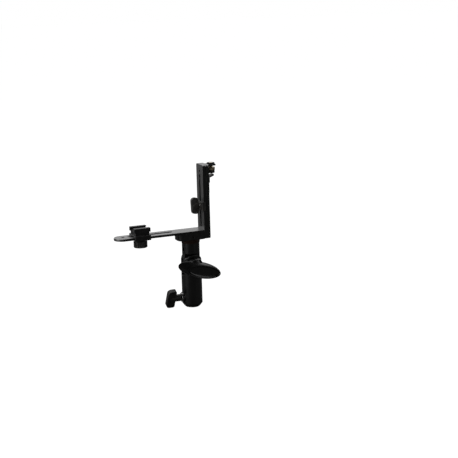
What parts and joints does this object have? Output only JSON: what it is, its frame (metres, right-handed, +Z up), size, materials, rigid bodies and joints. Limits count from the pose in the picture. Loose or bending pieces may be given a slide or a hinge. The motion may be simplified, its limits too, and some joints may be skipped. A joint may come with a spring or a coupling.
{
  "type": "umbrella swivel bracket",
  "caption": "Tilting light-stand swivel with a paddle lever, an umbrella hole, a slotted bar with a sliding accessory shoe, and a height-adjustable ring clamp arm.",
  "frame": {"origin": "centre of the stand socket's mouth, at its lower lip", "axes": "+Z up the socket, +X towards the upright arm and ring clamp, -Y towards the tilt lever"},
  "size_m": [0.1572, 0.0479, 0.2115],
  "materials": {
    "cast_black": "satin black powder coat over cast aluminium",
    "satin_aluminium": "black anodised strip with a satin sheen",
    "black_aluminium": "black anodised",
    "black_plastic": "moulded, fine grain",
    "lever_plastic": "moulded, semi-gloss",
    "black_steel": "black oxide",
    "plated_steel": "bright zinc plate",
    "brass": "machined",
    "bronze": "darkened bronze",
    "nylon": "natural nylon"
  },
  "bodies": {
    "socket": {"socket_body": "cast_black", "socket_liner": "nylon", "stand_clamp_bush": "plated_steel", "tilt_bolt": "black_steel", "tilt_friction_discs": "nylon", "lever_washer": "plated_steel"},
    "stand_pad": {"stand_clamp_pad": "brass"},
    "stand_knob": {"stand_clamp_screw": "black_steel", "stand_clamp_knob": "black_plastic"},
    "lever": {"tilt_lever": "lever_plastic", "lever_nut": "brass"},
    "head": {"swivel_head": "cast_black", "neck_collar": "bronze", "base_block": "black_aluminium", "block_set_screw": "black_steel", "horizontal_bar": "satin_aluminium", "bar_screws": "black_steel", "arm_fixed_bar": "satin_aluminium", "arm_screws": "black_steel"},
    "umbrella_tip": {"umbrella_screw_tip": "brass"},
    "umbrella_thumbscrew": {"umbrella_screw": "black_steel", "umbrella_knob": "black_plastic"},
    "shoe": {"shoe_saddle": "black_aluminium", "shoe_channel": "black_aluminium", "shoe_springs": "plated_steel", "shoe_screws": "black_steel", "shoe_bolt": "black_steel"},
    "shoe_lock_washer": {"shoe_washer": "plated_steel"},
    "shoe_lock_knob": {"shoe_knob": "black_plastic", "shoe_knob_nut": "brass"},
    "carrier": {"arm_carrier_bar": "satin_aluminium", "arm_bolt": "black_steel", "ring_hook": "black_aluminium", "ring_rest": "black_aluminium", "ring_rivets": "black_steel", "hook_screw": "black_steel", "ring_nut": "black_steel"},
    "arm_lock_saddle": {"arm_saddle": "black_plastic", "arm_washer": "plated_steel"},
    "arm_lock_knob": {"arm_knob": "black_plastic", "arm_knob_nut": "brass"},
    "ring_pad": {"ring_clamp_pad": "black_plastic"},
    "ring_thumbscrew": {"ring_clamp_screw": "brass"}
  },
  "joints": [
    {"name": "stand_clamp_travel", "type": "slide", "parent": "socket", "child": "stand_pad", "axis": [-1, 0, 0], "range_m": [0, 0.003]},
    {"name": "stand_clamp_turn", "type": "hinge", "parent": "stand_pad", "child": "stand_knob", "pos_m": [-0.019, 0, 0.015], "axis": [-1, 0, 0], "range_deg": [0, 865]},
    {"name": "lever_turn", "type": "hinge", "parent": "socket", "child": "lever", "pos_m": [0, -0.015, 0.065], "axis": [0, -1, 0], "range_deg": [0, 120]},
    {"name": "tilt", "type": "hinge", "parent": "socket", "child": "head", "pos_m": [0, 0, 0.065], "axis": [0, 1, 0], "range_deg": [-80, 90]},
    {"name": "umbrella_lock_travel", "type": "slide", "parent": "head", "child": "umbrella_tip", "axis": [0, 1, 0], "range_m": [0, 0.003]},
    {"name": "umbrella_lock_turn", "type": "hinge", "parent": "umbrella_tip", "child": "umbrella_thumbscrew", "pos_m": [0, 0.015, 0.088], "axis": [0, 1, 0], "range_deg": [0, 1351]},
    {"name": "shoe_slide", "type": "slide", "parent": "head", "child": "shoe", "axis": [1, 0, 0], "range_m": [-0.0155, 0.043]},
    {"name": "shoe_lock_travel", "type": "slide", "parent": "shoe", "child": "shoe_lock_washer", "axis": [0, 0, -1], "range_m": [0, 0.003]},
    {"name": "shoe_lock_turn", "type": "hinge", "parent": "shoe_lock_washer", "child": "shoe_lock_knob", "pos_m": [-0.077, 0, 0.105], "axis": [0, 0, -1], "range_deg": [0, 1081]},
    {"name": "ring_height", "type": "slide", "parent": "head", "child": "carrier", "axis": [0, 0, 1], "range_m": [0, 0.043]},
    {"name": "arm_lock_travel", "type": "slide", "parent": "carrier", "child": "arm_lock_saddle", "axis": [-1, 0, 0], "range_m": [0, 0.0024]},
    {"name": "arm_lock_turn", "type": "hinge", "parent": "arm_lock_saddle", "child": "arm_lock_knob", "pos_m": [0.012, 0, 0.15], "axis": [-1, 0, 0], "range_deg": [0, 1081]},
    {"name": "ring_lock_travel", "type": "slide", "parent": "carrier", "child": "ring_pad", "axis": [0, 0, 1], "range_m": [0, 0.002]},
    {"name": "ring_lock_turn", "type": "hinge", "parent": "ring_pad", "child": "ring_thumbscrew", "pos_m": [0.0352, 0, 0.203], "axis": [0, 0, 1], "range_deg": [0, 721]}
  ],
  "couplings": [
    {"joint": "stand_clamp_turn", "follows": "stand_clamp_travel", "rad_per_m": 5026.5},
    {"joint": "umbrella_lock_turn", "follows": "umbrella_lock_travel", "rad_per_m": 7854},
    {"joint": "shoe_lock_turn", "follows": "shoe_lock_travel", "rad_per_m": 6283.2},
    {"joint": "arm_lock_turn", "follows": "arm_lock_travel", "rad_per_m": 7854},
    {"joint": "ring_lock_turn", "follows": "ring_lock_travel", "rad_per_m": 6283.2}
  ]
}
